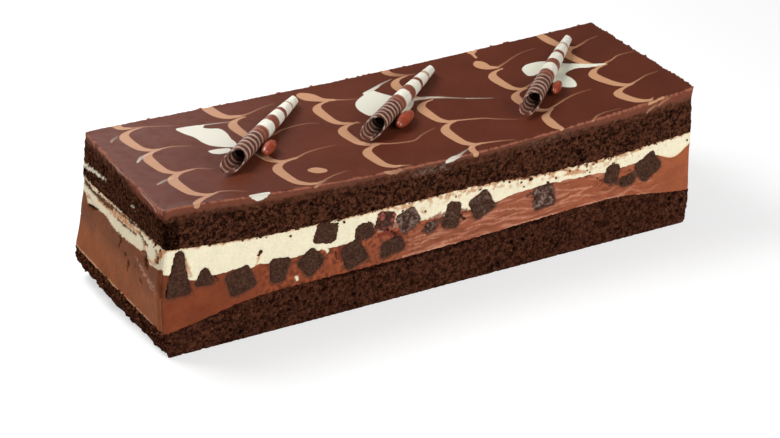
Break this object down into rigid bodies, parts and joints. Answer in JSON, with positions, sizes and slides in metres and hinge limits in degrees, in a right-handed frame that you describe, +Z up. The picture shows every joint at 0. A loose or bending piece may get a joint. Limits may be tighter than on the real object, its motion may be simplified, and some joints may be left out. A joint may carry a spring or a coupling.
{
  "type": "chocolate mousse cake",
  "caption": "Long bar cake of dark sponge, chocolate mousse and pale mousse with brownie chunks, under feathered ganache with striped curls and glazed beans.",
  "frame": {"origin": "middle of the cake's base, on the surface it stands on", "axes": "+X along the cake to the end that is on the right when seen from the cut front, +Y from the cut front to the back, +Z up"},
  "size_m": [0.2906, 0.092, 0.0809],
  "materials": {
    "bottom_sponge": "dark open crumb, dry and matte",
    "chocolate_mousse": "smooth aerated mousse with a soft satin cut",
    "white_mousse": "pale cream mousse with brown crumbs smeared in",
    "top_sponge": "dark open crumb, dry and matte",
    "ganache": "semi-gloss set ganache feathered with tan and white",
    "brownie": "dense dark crumb, matte",
    "curl": "thin rolled chocolate, striped dark and white, satin",
    "bean": "polished red-brown glaze"
  },
  "bodies": {
    "root": {"bottom_sponge": "bottom_sponge", "chocolate_mousse": "chocolate_mousse", "white_mousse": "white_mousse", "top_sponge": "top_sponge", "ganache": "ganache", "brownie_front_01": "brownie", "brownie_front_02": "brownie", "brownie_front_03": "brownie", "brownie_front_04": "brownie", "brownie_front_05": "brownie", "brownie_front_06": "brownie", "brownie_front_07": "brownie", "brownie_front_08": "brownie", "brownie_front_09": "brownie", "brownie_front_10": "brownie", "brownie_front_11": "brownie", "brownie_front_12": "brownie", "brownie_front_13": "brownie", "brownie_front_14": "brownie", "brownie_front_15": "brownie", "brownie_front_16": "brownie", "brownie_front_17": "brownie", "brownie_front_18": "brownie", "brownie_back_01": "brownie", "brownie_back_02": "brownie", "brownie_back_03": "brownie", "brownie_back_04": "brownie", "brownie_back_05": "brownie", "brownie_back_06": "brownie", "brownie_back_07": "brownie", "brownie_back_08": "brownie", "brownie_back_09": "brownie", "brownie_back_10": "brownie", "brownie_back_11": "brownie", "brownie_back_12": "brownie", "brownie_back_13": "brownie", "curl_1": "curl", "curl_2": "curl", "curl_3": "curl", "bean_1": "bean", "bean_2": "bean", "bean_3": "bean"}
  },
  "joints": []
}
